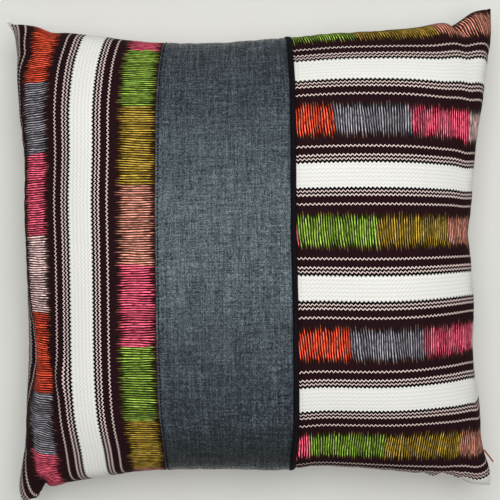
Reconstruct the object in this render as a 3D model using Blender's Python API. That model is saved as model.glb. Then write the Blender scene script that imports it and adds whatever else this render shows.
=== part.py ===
"""A square scatter cushion that lies on its back: a filled body with its back panel, three front panels,
a piping and a loose yarn end.

Metres, +Z up. The front faces up, and the origin is under the middle of the outline, on the surface that
the cushion rests on. A place on the cover is given by two shares of the flat cloth: across (-1 at the left
seam, +1 at the right seam) and along (-1 at the bottom seam, +1 at the top seam).
"""

import bmesh
import bpy
import numpy as np
from mathutils import Vector

# The cover and its filling
COVER_SIDE = 0.457
HALF_COVER = COVER_SIDE / 2
FRONT_CROWN = 0.067
BACK_CROWN = 0.066
SEAM_HEIGHT = 0.060
CONTACT_SOFTENING = 0.004

# The crown's section is a broad dome on a steep rim
DOME_FLATNESS = 5.65
DOME_SOFTNESS = 1.5
RIM_SHARE = 0.40
RIM_FLATNESS = 57.0

# The seam sways a little between corners that droop
CORNER_DROOP = 0.005
SEAM_SWAY = 0.0012
SWAY_REACH = 0.85

# The cloth, and the gap that two pieces keep where they touch
CLOTH_THICKNESS = 0.0015
TOUCH_GAP = 0.0003

# The front's seams, in metres of flat cloth to the right of the cover's middle
LEFT_SEAM = -0.0756
PIPING_SEAM = 0.0403
PIPING_RADIUS = 0.0024
PIPING_LIFT = 0.0010
PIPING_CLEARANCE = 0.00255
PIPING_REACH = 0.996

# A yarn end that sticks out of the right-hand seam near the lower corner
YARN_RADIUS = 0.00055
YARN_ALONG = -0.845
YARN_RUN = Vector((0.0086, -0.0112, 0.0))

# Where the filled cover's corners and middle lines lie, seen from above
CORNERS = {
    "top_left": (-0.2198, 0.2128),
    "top_right": (0.2182, 0.2228),
    "bottom_left": (-0.2058, -0.2228),
    "bottom_right": (0.2182, -0.2078),
}
MIDDLE_LINE_X = ((-1.0, -0.0013), (0.0, -0.0028), (1.0, -0.0036))
MIDDLE_LINE_Y = ((-1.0, -0.0050), (0.0, 0.0052), (1.0, 0.0075))

# How far each side is drawn in from the straight line between its corners: share of the side, metres
DRAWN_IN_LEFT = (
    (-1.0, 0.0), (-0.94, -0.0008), (-0.86, 0.0024), (-0.76, 0.0070), (-0.60, 0.0095), (-0.37, 0.0126),
    (0.04, 0.0137), (0.20, 0.0130), (0.41, 0.0146), (0.60, 0.0118), (0.75, 0.0103), (0.88, 0.0096),
    (0.95, 0.0064), (1.0, 0.0),
)
DRAWN_IN_RIGHT = (
    (-1.0, 0.0), (-0.93, 0.0016), (-0.86, 0.0066), (-0.80, 0.0095), (-0.64, 0.0113), (-0.51, 0.0166),
    (-0.40, 0.0184), (-0.26, 0.0175), (-0.10, 0.0193), (0.05, 0.0213), (0.20, 0.0189), (0.36, 0.0166),
    (0.49, 0.0131), (0.61, 0.0086), (0.78, 0.0037), (0.86, 0.0008), (1.0, 0.0),
)
DRAWN_IN_TOP = (
    (-1.0, 0.0), (-0.97, 0.0040), (-0.93, 0.0052), (-0.85, 0.0093), (-0.80, 0.0131), (-0.72, 0.0153),
    (-0.60, 0.0190), (-0.48, 0.0236), (-0.24, 0.0275), (0.17, 0.0242), (0.34, 0.0215), (0.54, 0.0198),
    (0.70, 0.0170), (0.79, 0.0138), (0.84, 0.0152), (0.88, 0.0100), (0.92, 0.0040), (1.0, 0.0),
)
DRAWN_IN_BOTTOM = (
    (-1.0, 0.0), (-0.95, 0.0020), (-0.915, 0.0060), (-0.895, 0.0152), (-0.86, 0.0137), (-0.78, 0.0170),
    (-0.61, 0.0219), (-0.45, 0.0258), (-0.24, 0.0258), (0.00, 0.0232), (0.15, 0.0216), (0.27, 0.0243),
    (0.40, 0.0226), (0.57, 0.0184), (0.78, 0.0115), (0.86, 0.0090), (0.92, 0.0024), (1.0, 0.0),
)

# The front's main creases, in metres and degrees: middle on the flat cloth, heading, length, width, depth
CREASES = (
    {"across": -0.186, "along": -0.112, "heading": 96, "length": 0.042, "width": 0.013, "depth": 0.0065},
    {"across": -0.196, "along": -0.214, "heading": 50, "length": 0.022, "width": 0.008, "depth": 0.0060},
    {"across": 0.190, "along": 0.216, "heading": 115, "length": 0.022, "width": 0.008, "depth": 0.0050},
    {"across": 0.176, "along": 0.203, "heading": 60, "length": 0.026, "width": 0.014, "depth": -0.0020},
    {"across": -0.186, "along": 0.216, "heading": 80, "length": 0.020, "width": 0.010, "depth": 0.0030},
    {"across": -0.205, "along": 0.190, "heading": 130, "length": 0.026, "width": 0.012, "depth": 0.0030},
    {"across": 0.206, "along": -0.140, "heading": 150, "length": 0.030, "width": 0.014, "depth": 0.0030},
    {"across": 0.216, "along": 0.012, "heading": 10, "length": 0.020, "width": 0.014, "depth": 0.0020},
    {"across": -0.057, "along": -0.151, "heading": 112, "length": 0.034, "width": 0.012, "depth": 0.0014},
)
CREASE_FADE = 40

# How finely the solids are cut up
CELLS = 34
EDGE_CROWDING = 0.6
LEAST_CELL = 0.005
ARC_STEPS = 160
YARN_CUTS = 4
SHARP_EDGE = 40

BLACK_COTTON = (0.012, 0.012, 0.016)
SLATE_LINEN = (0.11, 0.13, 0.15)
STRIPED_COTTON = (0.30, 0.15, 0.14)
RUST_YARN = (0.30, 0.07, 0.03)


def clear_scene():
    """Removes the objects that the file opened with."""
    for thing in list(bpy.data.objects):
        bpy.data.objects.remove(thing, do_unlink=True)


def smooth_through(rows, places):
    """A smooth curve through a short table of (place, value) rows, read at the given places."""
    knots, values = np.array(rows, float).T
    slopes = np.gradient(values, knots)
    slopes[0] = (values[1] - values[0]) / (knots[1] - knots[0])
    slopes[-1] = (values[-1] - values[-2]) / (knots[-1] - knots[-2])
    places = np.clip(np.asarray(places, float), knots[0], knots[-1])
    first = np.clip(np.searchsorted(knots, places, side="right") - 1, 0, len(knots) - 2)
    span = knots[first + 1] - knots[first]
    part = (places - knots[first]) / span
    start_weight = 2 * part**3 - 3 * part**2 + 1
    start_bend = part**3 - 2 * part**2 + part
    end_bend = part**3 - part**2
    bend = span * (start_bend * slopes[first] + end_bend * slopes[first + 1])
    return start_weight * values[first] + (1 - start_weight) * values[first + 1] + bend


def side_line(start, end, axis, share):
    """Where the straight line between two corners lies along an axis, at a share from -1 to 1."""
    first, last = CORNERS[start][axis], CORNERS[end][axis]
    return first + (last - first) * (share + 1) / 2


def seam_left(along):
    return side_line("bottom_left", "top_left", 0, along) + smooth_through(DRAWN_IN_LEFT, along)


def seam_right(along):
    return side_line("bottom_right", "top_right", 0, along) - smooth_through(DRAWN_IN_RIGHT, along)


def seam_bottom(across):
    return side_line("bottom_left", "bottom_right", 1, across) + smooth_through(DRAWN_IN_BOTTOM, across)


def seam_top(across):
    return side_line("top_left", "top_right", 1, across) - smooth_through(DRAWN_IN_TOP, across)


def fullness(reach):
    """Height of the crown's section, from 1 in the middle, where reach is 0, to 0 at the seam."""
    reach = np.clip(reach, 0, 1)
    dome = (1 - reach**DOME_FLATNESS) ** DOME_SOFTNESS
    rim = 1 - reach**RIM_FLATNESS
    return (1 - RIM_SHARE) * dome + RIM_SHARE * rim


def reach_of(share, half_width, crown):
    """How far towards the seam a share of the flat cloth comes to lie over a crown.

    The cloth keeps its length, so it advances less where the crown is steep.
    """
    steps = 1 - (1 - np.linspace(0, 1, ARC_STEPS)) ** 2
    runs = np.diff(steps) * np.asarray(half_width)[..., None]
    drops = np.diff(fullness(steps)) * np.asarray(crown)[..., None]
    travelled = np.cumsum(np.hypot(runs, drops), axis=-1)
    travelled = np.concatenate([np.zeros_like(travelled[..., :1]), travelled], axis=-1)
    goal = np.asarray(share)[..., None] * travelled[..., -1:]
    first = np.clip((travelled < goal).sum(-1) - 1, 0, ARC_STEPS - 2)
    start = np.take_along_axis(travelled, first[..., None], -1)
    end = np.take_along_axis(travelled, first[..., None] + 1, -1)
    part = ((goal - start) / (end - start))[..., 0]
    return steps[first] + part * (steps[first + 1] - steps[first])


def crown_place(across, along):
    """Where the filled cover's cloth lies, seen from above, and its fullness there, with no crease yet."""
    middle_x = smooth_through(MIDDLE_LINE_X, along)
    middle_y = smooth_through(MIDDLE_LINE_Y, across)
    side_x = np.where(across < 0, seam_left(along), seam_right(along)) - middle_x
    side_y = np.where(along < 0, seam_bottom(across), seam_top(across)) - middle_y
    flat = np.full(np.shape(across), HALF_COVER)
    whole = np.full(np.shape(across), FRONT_CROWN)
    crown_across = FRONT_CROWN * fullness(reach_of(np.abs(along), flat, whole))
    crown_along = FRONT_CROWN * fullness(reach_of(np.abs(across), flat, whole))
    reach_x = reach_of(np.abs(across), np.abs(side_x), crown_across)
    reach_y = reach_of(np.abs(along), np.abs(side_y), crown_along)
    x = middle_x + side_x * reach_x
    y = middle_y + side_y * reach_y
    return x, y, fullness(reach_x) * fullness(reach_y)


def seam_lift(across, along, full):
    """How far the seam strays from its level: it sways a little, and its corners droop."""
    corner = np.abs(across * along) ** 6
    sway = np.sin(7 * across - 3 * along + 0.6) + np.sin(4 * across + 9 * along)
    near_seam = np.clip(1 - full / SWAY_REACH, 0, 1)
    return (SEAM_SWAY * sway * (1 - corner) - CORNER_DROOP * corner) * near_seam


def crease_depth(across, along):
    """How deep the creases sink the front at a place on the flat cloth."""
    depth = np.zeros(np.shape(across))
    for crease in CREASES:
        heading = np.radians(crease["heading"])
        right = across * HALF_COVER - crease["across"]
        up = along * HALF_COVER - crease["along"]
        lengthwise = (right * np.cos(heading) + up * np.sin(heading)) / crease["length"]
        crosswise = (up * np.cos(heading) - right * np.sin(heading)) / crease["width"]
        depth += crease["depth"] * np.exp(-2 * lengthwise**2 - 2 * crosswise**2)
    return depth * (1 - np.maximum(np.abs(across), np.abs(along)) ** CREASE_FADE)


def surface_normals(points):
    """Unit normals of a lattice of points, on the side that the front faces."""
    normals = np.cross(np.gradient(points, axis=0), np.gradient(points, axis=1))
    return normals / np.linalg.norm(normals, axis=-1, keepdims=True)


def seam_normals(points):
    """Level directions straight out of the seam, and zero everywhere inside it."""
    outward = np.zeros_like(points)
    for edge, turn in ((np.s_[0, :], -1), (np.s_[-1, :], 1), (np.s_[:, 0], 1), (np.s_[:, -1], -1)):
        run = np.gradient(points[edge], axis=0)
        level = turn * np.stack([run[:, 1], -run[:, 0], np.zeros(len(run))], -1)
        outward[edge] += level / np.linalg.norm(level, axis=-1, keepdims=True)
    return outward


def front_lattice(columns, rows):
    """The front's outer surface on a lattice of shares, with the direction that its thickness runs in."""
    across, along = np.meshgrid(columns, rows, indexing="ij")
    x, y, full = crown_place(across, along)
    seam = SEAM_HEIGHT + seam_lift(across, along, full)
    crown = np.stack([x, y, seam + TOUCH_GAP / 2 + FRONT_CROWN * full], -1)
    points = crown - surface_normals(crown) * crease_depth(across, along)[..., None]
    normals = surface_normals(points)
    outward = seam_normals(points)
    on_seam = np.abs(outward).sum(-1) > 0
    normals[on_seam] = outward[on_seam]
    return points, normals


def back_lattice(columns, rows):
    """The back's outer surface, which is flat where the cushion rests."""
    across, along = np.meshgrid(columns, rows, indexing="ij")
    x, y, full = crown_place(across, along)
    seam = SEAM_HEIGHT + seam_lift(across, along, full)
    free_drop = BACK_CROWN * full
    soft_start = SEAM_HEIGHT - CONTACT_SOFTENING / 2
    pressed = np.clip((free_drop - soft_start) / CONTACT_SOFTENING, 0, 1)
    drop = np.minimum(free_drop, soft_start) + CONTACT_SOFTENING * (pressed - pressed**2 / 2)
    under_seam = TOUCH_GAP / 2
    return np.stack([x, y, seam - under_seam - drop * (1 - under_seam / SEAM_HEIGHT)], -1)


def graded_shares():
    """Shares from -1 to 1, close together at the seams and wider apart in the middle."""
    even = np.linspace(0, 1, CELLS // 2 + 1)
    half = EDGE_CROWDING * np.sin(even * np.pi / 2) + (1 - EDGE_CROWDING) * even
    return np.concatenate([-half[:0:-1], half])


def columns_at_seams(seams):
    """Graded columns with one on each edge of each front panel, and none too close beside it."""
    free = [share for share in graded_shares() if np.abs(seams - share).min() * HALF_COVER > LEAST_CELL]
    return np.array(sorted([*free, *seams]))


def solid_between(name, upper, lower):
    """A closed solid between two lattices of points that share their columns and rows."""
    cells_across, cells_along = upper.shape[0] - 1, upper.shape[1] - 1
    body = bmesh.new()
    bmesh.ops.create_grid(body, x_segments=cells_across, y_segments=cells_along, size=1.0)
    raised = bmesh.ops.extrude_face_region(body, geom=body.faces[:], use_keep_orig=True)["geom"]
    raised_vertices = [item for item in raised if isinstance(item, bmesh.types.BMVert)]
    bmesh.ops.translate(body, vec=(0, 0, 1), verts=raised_vertices)
    for vertex in body.verts:
        column = round((vertex.co.x + 1) / 2 * cells_across)
        row = round((vertex.co.y + 1) / 2 * cells_along)
        skin = upper if vertex.co.z > 0.5 else lower
        vertex.co = skin[column, row]
    bmesh.ops.triangulate(body, faces=body.faces[:], quad_method="SHORT_EDGE")
    bmesh.ops.recalc_face_normals(body, faces=body.faces[:])
    if body.calc_volume(signed=True) < 0:
        bmesh.ops.reverse_faces(body, faces=body.faces[:])
    mesh = bpy.data.meshes.new(name)
    body.to_mesh(mesh)
    body.free()
    mesh.shade_smooth()
    mesh.set_sharp_from_angle(angle=np.radians(SHARP_EDGE))
    return mesh


def cord_along(name, route, radius):
    """A round cord along a route of points, with closed ends."""
    curve = bpy.data.curves.new(name, "CURVE")
    curve.dimensions = "3D"
    curve.bevel_depth = radius
    curve.bevel_resolution = 2
    curve.use_fill_caps = True
    spline = curve.splines.new("POLY")
    spline.points.add(len(route) - 1)
    for knot, place in zip(spline.points, route):
        knot.co = (*place, 1)
    return curve


def cloth_finish(name, colour, roughness):
    """A cloth material of one colour."""
    material = bpy.data.materials.new(name)
    material.use_nodes = True
    shader = material.node_tree.nodes["Principled BSDF"]
    shader.inputs["Base Color"].default_value = (*colour, 1)
    shader.inputs["Roughness"].default_value = roughness
    shader.inputs["Metallic"].default_value = 0.0
    return material


def add_piece(name, data, material):
    """One named piece of the cushion, with its material."""
    piece = bpy.data.objects.new(name, data)
    piece.data.materials.append(material)
    bpy.context.scene.collection.objects.link(piece)
    return piece


def filled_back(columns, rows, front, normals, material):
    """The filling with the back panel. A ledge at the seam carries the front panels' edges."""
    upper = front - normals * (CLOTH_THICKNESS + TOUCH_GAP)
    for edge in (np.s_[0, :], np.s_[-1, :], np.s_[:, 0], np.s_[:, -1]):
        upper[edge] = (front - normals * (CLOTH_THICKNESS + TOUCH_GAP))[edge] - (0, 0, TOUCH_GAP)
    return add_piece("filled_back", solid_between("filled_back", upper, back_lattice(columns, rows)), material)


def front_panel(name, columns, front, normals, start, end, material):
    """A sheet of the front between two columns, with a hair of room at a seam with its neighbour."""
    inside = slice(np.abs(columns - start).argmin(), np.abs(columns - end).argmin() + 1)
    outer = front[inside].copy()
    inner = (front - normals * CLOTH_THICKNESS)[inside].copy()
    for edge, neighbour, seam in ((0, 1, start), (-1, -2, end)):
        if abs(seam) == 1:
            continue
        for skin in (outer, inner):
            inward = skin[neighbour] - skin[edge]
            skin[edge] += inward / np.linalg.norm(inward, axis=-1, keepdims=True) * TOUCH_GAP / 2
    return add_piece(name, solid_between(name, outer, inner), material)


def piping(rows, material):
    """The covered cord in the seam between the plain panel and the right-hand striped panel."""
    seam = PIPING_SEAM / HALF_COVER
    beside = PIPING_CLEARANCE / HALF_COVER
    columns = np.array([-1, seam - beside, seam, seam + beside, 1])
    inner_rows = np.clip(rows, -PIPING_REACH, PIPING_REACH)
    points, normals = front_lattice(columns, np.array([-1, *inner_rows, 1]))
    route = points[2, 1:-1] + normals[2, 1:-1] * PIPING_LIFT
    return add_piece("piping", cord_along("piping", route, PIPING_RADIUS), material)


def yarn_end(material):
    """A short yarn that sticks out of the right-hand seam."""
    across, along = np.array([1.0]), np.array([YARN_ALONG])
    x, y, full = crown_place(across, along)
    root = Vector((x[0], y[0], SEAM_HEIGHT + seam_lift(across, along, full)[0]))
    start = root + YARN_RUN.normalized() * (YARN_RADIUS + TOUCH_GAP)
    end = root + YARN_RUN
    route = [start.lerp(end, cut / YARN_CUTS) for cut in range(YARN_CUTS + 1)]
    return add_piece("yarn_end", cord_along("yarn_end", route, YARN_RADIUS), material)


def build():
    """Makes every piece of the cushion."""
    clear_scene()
    striped = cloth_finish("striped_cotton", STRIPED_COTTON, 0.85)
    slate = cloth_finish("slate_linen", SLATE_LINEN, 0.9)
    black = cloth_finish("black_cotton", BLACK_COTTON, 0.8)
    rust = cloth_finish("rust_yarn", RUST_YARN, 0.7)

    piping_edges = (PIPING_SEAM - PIPING_CLEARANCE, PIPING_SEAM + PIPING_CLEARANCE)
    seams = np.array([LEFT_SEAM, *piping_edges]) / HALF_COVER
    columns, rows = columns_at_seams(seams), graded_shares()
    front, normals = front_lattice(columns, rows)

    filled_back(columns, rows, front, normals, striped)
    front_panel("left_striped_panel", columns, front, normals, -1, seams[0], striped)
    front_panel("slate_panel", columns, front, normals, seams[0], seams[1], slate)
    front_panel("right_striped_panel", columns, front, normals, seams[2], 1, striped)
    piping(rows, black)
    yarn_end(rust)


build()
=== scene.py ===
import bmesh
import bpy
import numpy as np
from mathutils import Matrix, Vector


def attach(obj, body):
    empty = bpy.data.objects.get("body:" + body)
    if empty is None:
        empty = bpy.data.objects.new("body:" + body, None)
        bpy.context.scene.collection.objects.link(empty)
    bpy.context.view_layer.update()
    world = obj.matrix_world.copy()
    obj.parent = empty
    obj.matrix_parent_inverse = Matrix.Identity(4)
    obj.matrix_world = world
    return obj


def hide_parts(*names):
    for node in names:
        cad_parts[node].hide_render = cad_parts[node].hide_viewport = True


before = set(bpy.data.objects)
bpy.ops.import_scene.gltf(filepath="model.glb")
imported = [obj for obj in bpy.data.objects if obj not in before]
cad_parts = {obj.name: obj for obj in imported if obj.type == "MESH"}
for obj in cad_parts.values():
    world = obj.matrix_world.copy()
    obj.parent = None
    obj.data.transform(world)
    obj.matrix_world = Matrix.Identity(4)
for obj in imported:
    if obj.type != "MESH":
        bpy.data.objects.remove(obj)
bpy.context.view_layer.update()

# The cover and its filling, in metres. A place on the cover is given by two shares of the flat cloth:
# across (-1 at the left seam, +1 at the right) and along (-1 at the bottom seam, +1 at the top)
HALF_COVER = 0.2285
FRONT_CROWN = 0.067
BACK_CROWN = 0.066
SEAM_HEIGHT = 0.060
CONTACT_SOFTENING = 0.004

# The crown's section is a broad dome on a steep rim
DOME_FLATNESS = 5.65
DOME_SOFTNESS = 1.5
RIM_SHARE = 0.40
RIM_FLATNESS = 57.0
ARC_STEPS = 400

# The seam sways a little between corners that droop
CORNER_DROOP = 0.005
CORNER_SHARPNESS = 6
SEAM_SWAY = 0.0012
SWAY_REACH = 0.85
SWAY_WAVES = ({"across": 7, "along": -3, "start": 0.6}, {"across": 4, "along": 9, "start": 0.0})

# The cloth, and the gap that two pieces keep where they touch
CLOTH_THICKNESS = 0.0015
TOUCH_GAP = 0.0003
FOLD_RADIUS = 0.0011
SIDE_SEAM_PINCH = 0.0011
SIDE_SEAM_WIDTH = 0.0022

# The front's seams, in metres of flat cloth to the right of the cover's middle
LEFT_SEAM = -0.0756
PIPING_SEAM = 0.0403
PIPING_RADIUS = 0.0024
PIPING_LIFT = 0.0010
PIPING_CLEARANCE = 0.00255
PIPING_REACH = 0.985
PIPING_END = 0.040
PIPING_PRESSED = 0.68
PIPED_EDGE = 0.0016
PIPED_SHOULDER = 0.00028
PIPED_SHOULDER_WIDTH = 0.0007
PIPING_CAP = 0.9 * PIPING_RADIUS
PIPING_CAP_LEAST = 0.05
PIPING_WAVER = ({"swell": 0.00005, "rate": 310, "turns": 0}, {"swell": 0.00004, "rate": 127, "turns": 1})

# Stitching beside the plain panel's left edge, and the ridge of the seam allowance beside the piping
STITCH_INSET = 0.0021
STITCH_PITCH = 0.0033
STITCH_LENGTH = 0.0024
STITCH_RADIUS = 0.00045
STITCH_SINK = 0.00050
STITCH_DENT = 1.6 * STITCH_RADIUS
STITCH_PROUD = 0.5 * STITCH_RADIUS
STITCH_REACH = 0.99
STITCH_PLACES = 800
ALLOWANCE_LIFT = 0.00022
GROOVE_INSET = 0.0026
GROOVE_DEPTH = 0.00085
GROOVE_WIDTH = 0.0004

# A yarn end that sticks out of the right-hand seam near the lower corner
YARN_RADIUS = 0.00055
YARN_ALONG = -0.845
YARN_RUN = Vector((0.0086, -0.0112, 0.0))
YARN_PLIES = 2
YARN_HALF_TURNS = 5
YARN_CUTS = 40
YARN_PLY_RADIUS = 1.22
YARN_PLY_SWELL = 0.16

# Where the filled cover's corners and middle lines lie, seen from above
CORNERS = {
    "top_left": (-0.2198, 0.2128),
    "top_right": (0.2182, 0.2228),
    "bottom_left": (-0.2058, -0.2228),
    "bottom_right": (0.2182, -0.2078),
}
MIDDLE_LINE_X = ((-1.0, -0.0013), (0.0, -0.0028), (1.0, -0.0036))
MIDDLE_LINE_Y = ((-1.0, -0.0050), (0.0, 0.0052), (1.0, 0.0075))

# How far each side is drawn in from the straight line between its corners: share of the side, metres
DRAWN_IN_LEFT = (
    (-1.0, 0.0), (-0.94, -0.0008), (-0.86, 0.0024), (-0.76, 0.0070), (-0.60, 0.0095), (-0.37, 0.0126),
    (0.04, 0.0137), (0.20, 0.0130), (0.41, 0.0146), (0.60, 0.0118), (0.75, 0.0103), (0.88, 0.0096),
    (0.95, 0.0064), (1.0, 0.0),
)
DRAWN_IN_RIGHT = (
    (-1.0, 0.0), (-0.93, 0.0016), (-0.86, 0.0066), (-0.80, 0.0095), (-0.64, 0.0113), (-0.51, 0.0166),
    (-0.40, 0.0184), (-0.26, 0.0175), (-0.10, 0.0193), (0.05, 0.0213), (0.20, 0.0189), (0.36, 0.0166),
    (0.49, 0.0131), (0.61, 0.0086), (0.78, 0.0037), (0.86, 0.0008), (1.0, 0.0),
)
DRAWN_IN_TOP = (
    (-1.0, 0.0), (-0.97, 0.0040), (-0.93, 0.0052), (-0.85, 0.0093), (-0.80, 0.0131), (-0.72, 0.0153),
    (-0.60, 0.0190), (-0.48, 0.0236), (-0.24, 0.0275), (0.17, 0.0242), (0.34, 0.0215), (0.54, 0.0198),
    (0.70, 0.0170), (0.79, 0.0138), (0.84, 0.0152), (0.88, 0.0100), (0.92, 0.0040), (1.0, 0.0),
)
DRAWN_IN_BOTTOM = (
    (-1.0, 0.0), (-0.95, 0.0020), (-0.915, 0.0060), (-0.895, 0.0152), (-0.86, 0.0137), (-0.78, 0.0170),
    (-0.61, 0.0219), (-0.45, 0.0258), (-0.24, 0.0258), (0.00, 0.0232), (0.15, 0.0216), (0.27, 0.0243),
    (0.40, 0.0226), (0.57, 0.0184), (0.78, 0.0115), (0.86, 0.0090), (0.92, 0.0024), (1.0, 0.0),
)

# Creases, in metres and degrees: middle on the flat cloth, heading, length, width, depth (minus is a ridge)
CREASES = (
    {"across": -0.178, "along": -0.110, "heading": 93, "length": 0.032, "width": 0.009, "depth": 0.0070},
    {"across": -0.161, "along": -0.106, "heading": 93, "length": 0.020, "width": 0.009, "depth": -0.0042},
    {"across": -0.206, "along": -0.088, "heading": 92, "length": 0.058, "width": 0.018, "depth": 0.0080},
    {"across": -0.187, "along": -0.152, "heading": 54, "length": 0.024, "width": 0.008, "depth": 0.0046},
    {"across": -0.196, "along": -0.214, "heading": 50, "length": 0.022, "width": 0.008, "depth": 0.0060},
    {"across": 0.190, "along": 0.216, "heading": 115, "length": 0.022, "width": 0.008, "depth": 0.0050},
    {"across": 0.176, "along": 0.203, "heading": 60, "length": 0.026, "width": 0.014, "depth": -0.0020},
    {"across": -0.186, "along": 0.216, "heading": 80, "length": 0.020, "width": 0.010, "depth": 0.0030},
    {"across": -0.205, "along": 0.190, "heading": 130, "length": 0.026, "width": 0.012, "depth": 0.0030},
    {"across": 0.206, "along": -0.140, "heading": 150, "length": 0.030, "width": 0.014, "depth": 0.0030},
    {"across": 0.216, "along": 0.012, "heading": 10, "length": 0.020, "width": 0.014, "depth": 0.0020},
    {"across": -0.057, "along": -0.151, "heading": 112, "length": 0.034, "width": 0.012, "depth": 0.0014},
)
FINE_CREASES = (
    {"across": 0.034, "along": -0.079, "heading": 8, "length": 0.009, "width": 0.0035, "depth": 0.0007},
    {"across": 0.033, "along": -0.114, "heading": -6, "length": 0.012, "width": 0.0060, "depth": 0.0006},
    {"across": 0.033, "along": -0.140, "heading": 5, "length": 0.011, "width": 0.0040, "depth": 0.0008},
    {"across": 0.033, "along": -0.162, "heading": 12, "length": 0.012, "width": 0.0045, "depth": 0.0009},
    {"across": -0.020, "along": 0.190, "heading": 95, "length": 0.020, "width": 0.0060, "depth": 0.0009},
    {"across": 0.002, "along": 0.196, "heading": 84, "length": 0.016, "width": 0.0050, "depth": 0.0006},
    {"across": 0.158, "along": -0.219, "heading": 80, "length": 0.010, "width": 0.0045, "depth": 0.0030},
    {"across": 0.168, "along": -0.218, "heading": 95, "length": 0.012, "width": 0.0045, "depth": -0.0024},
    {"across": 0.178, "along": -0.219, "heading": 100, "length": 0.012, "width": 0.0050, "depth": 0.0036},
    {"across": 0.192, "along": -0.218, "heading": 85, "length": 0.012, "width": 0.0055, "depth": -0.0022},
)
CREASE_FADE = 40

# Small puckers along the four sides, where the stitching gathers the cloth
PUCKER_PITCH = 0.017
PUCKER_LENGTH = (0.010, 0.030)
PUCKER_WIDTH = (0.0035, 0.0075)
PUCKER_DEPTH = (0.0002, 0.0009)
PUCKER_STRAY = 0.4
PUCKER_START = (0.5, 0.8)
PUCKER_TURN = 14
PUCKER_SEED = 41

# The striped cloth's weave: one repeat of its stripes, and its ikat bands
REPEAT = 0.0947
WHITE_HALF_WIDTH = 0.01055
IKAT_HALF_WIDTH = 0.0161
ZIGZAG_PITCH = 0.00350
ZIGZAG_SWING = 0.00175
RIB_PITCH = 0.00332
THREAD_PITCH = 0.00208
THREAD_SLANT = 0.045
BLOCK_LENGTH = 0.0670
BLOCKS_BEYOND = 8
STEEPEST_LEVEL = 0.2
WIDEST_SWING = 1.9

# The left panel's stripes count from its seam with the plain panel, the right panel's from the middle
LEFT_WHITE_CENTRE = 0.0640
RIGHT_WHITE_CENTRE = 0.1570
BACK_WHITE_CENTRE = 0.0596
RIGHT_SKEW = 0.130

# The left panel's cloth is eased to one side around its white band, and stretched beside its seam
LEFT_EASE = 0.0011
LEFT_EASE_START = 0.018
LEFT_EASE_END = 0.055
LEFT_STRETCH = 0.0022
LEFT_STRETCH_REACH = 0.018

# Where the left panel's stripes are pulled towards its side seam: middle, reach and pull
LEFT_PULL = {"across": -0.2285, "along": -0.150, "reach_across": 0.022, "reach_along": 0.034, "pull": 0.0130}

# How far the right panel's stripes bow upwards, in metres on the flat cloth: middle, reach and rise
RIGHT_BOWS = (
    {"across": 0.205, "along": 0.200, "reach_across": 0.050, "reach_along": 0.045, "rise": 0.0060},
    {"across": 0.196, "along": 0.165, "reach_across": 0.018, "reach_along": 0.050, "rise": 0.0052},
    {"across": 0.205, "along": -0.190, "reach_across": 0.035, "reach_along": 0.085, "rise": -0.0065},
    {"across": 0.110, "along": -0.055, "reach_across": 0.075, "reach_along": 0.085, "rise": -0.0026},
)

# How far the front's seams stray sideways, around a place across the cover: share of its height, metres
SEAM_DRIFTS = (
    {"across": 0.18, "reach": 0.36, "drift": (
        (-1.0, 0.0), (-0.75, 0.0006), (-0.20, 0.0), (0.35, -0.0015), (0.75, -0.0024), (1.0, -0.0022))},
    {"across": -0.52, "reach": 0.34, "drift": (
        (-1.0, -0.0012), (-0.9, -0.0012), (-0.76, 0.0005), (-0.6, 0.0008), (-0.3, 0.0002), (0.07, 0.0005),
        (0.3, 0.0010), (0.5, 0.0014), (0.65, 0.0012), (0.8, -0.0002), (1.0, -0.0012))},
)

# Where each ikat band changes colour, in metres along its stripe, and the number of the first change
LEFT_BANDS = (
    {"across": 0.0161, "first": 1, "changes": (-0.1895, -0.1283, -0.0589, 0.0099, 0.0791, 0.1440, 0.1992)},
    {"across": 0.1110, "first": 1, "changes": (-0.1594, -0.0942, -0.0204, 0.0481, 0.1218, 0.1802)},
)
RIGHT_BANDS = (
    {"across": 0.2044, "first": 2, "changes": (0.0960, 0.1664, 0.2420)},
    {"across": 0.1097, "first": 1, "changes": (0.0729, 0.1350, 0.1923)},
    {"across": 0.0150, "first": 1, "changes": (0.0431, 0.1091, 0.1751)},
    {"across": -0.0797, "first": 1, "changes": (0.0855, 0.1477, 0.2032)},
    {"across": -0.1744, "first": 1, "changes": (0.0533, 0.1187, 0.1892)},
)
BACK_BANDS = tuple({
    "across": BACK_WHITE_CENTRE + REPEAT * (number - 2.5),
    "first": number,
    "changes": (0.020 - 0.031 * number,),
} for number in range(5))

# How finely the cloth is cut up
CELL = 0.0021
BACK_CELL = 0.0026
EDGE_STEPS = np.array((0.0, 0.0002, 0.0004, 0.0006, 0.0008, 0.0011, 0.0015, 0.0020, 0.0026, 0.0033, 0.0043))
SHARP_EDGE = 50
MERGE_DISTANCE = 1e-6

# The view from straight above, and the soft light
EYE = Vector((0.0009, 0.0045, 0.977))
LENS = 73.65
FLOOR_SIZE = 40.0


def smooth_through(rows, places):
    """A smooth curve through a short table of (place, value) rows, read at the given places."""
    knots, values = np.array(rows, float).T
    slopes = np.gradient(values, knots)
    slopes[0] = (values[1] - values[0]) / (knots[1] - knots[0])
    slopes[-1] = (values[-1] - values[-2]) / (knots[-1] - knots[-2])
    places = np.clip(np.asarray(places, float), knots[0], knots[-1])
    first = np.clip(np.searchsorted(knots, places, side="right") - 1, 0, len(knots) - 2)
    span = knots[first + 1] - knots[first]
    part = (places - knots[first]) / span
    start_weight = 2 * part**3 - 3 * part**2 + 1
    start_bend = part**3 - 2 * part**2 + part
    end_bend = part**3 - part**2
    bend = span * (start_bend * slopes[first] + end_bend * slopes[first + 1])
    return start_weight * values[first] + (1 - start_weight) * values[first + 1] + bend


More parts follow.
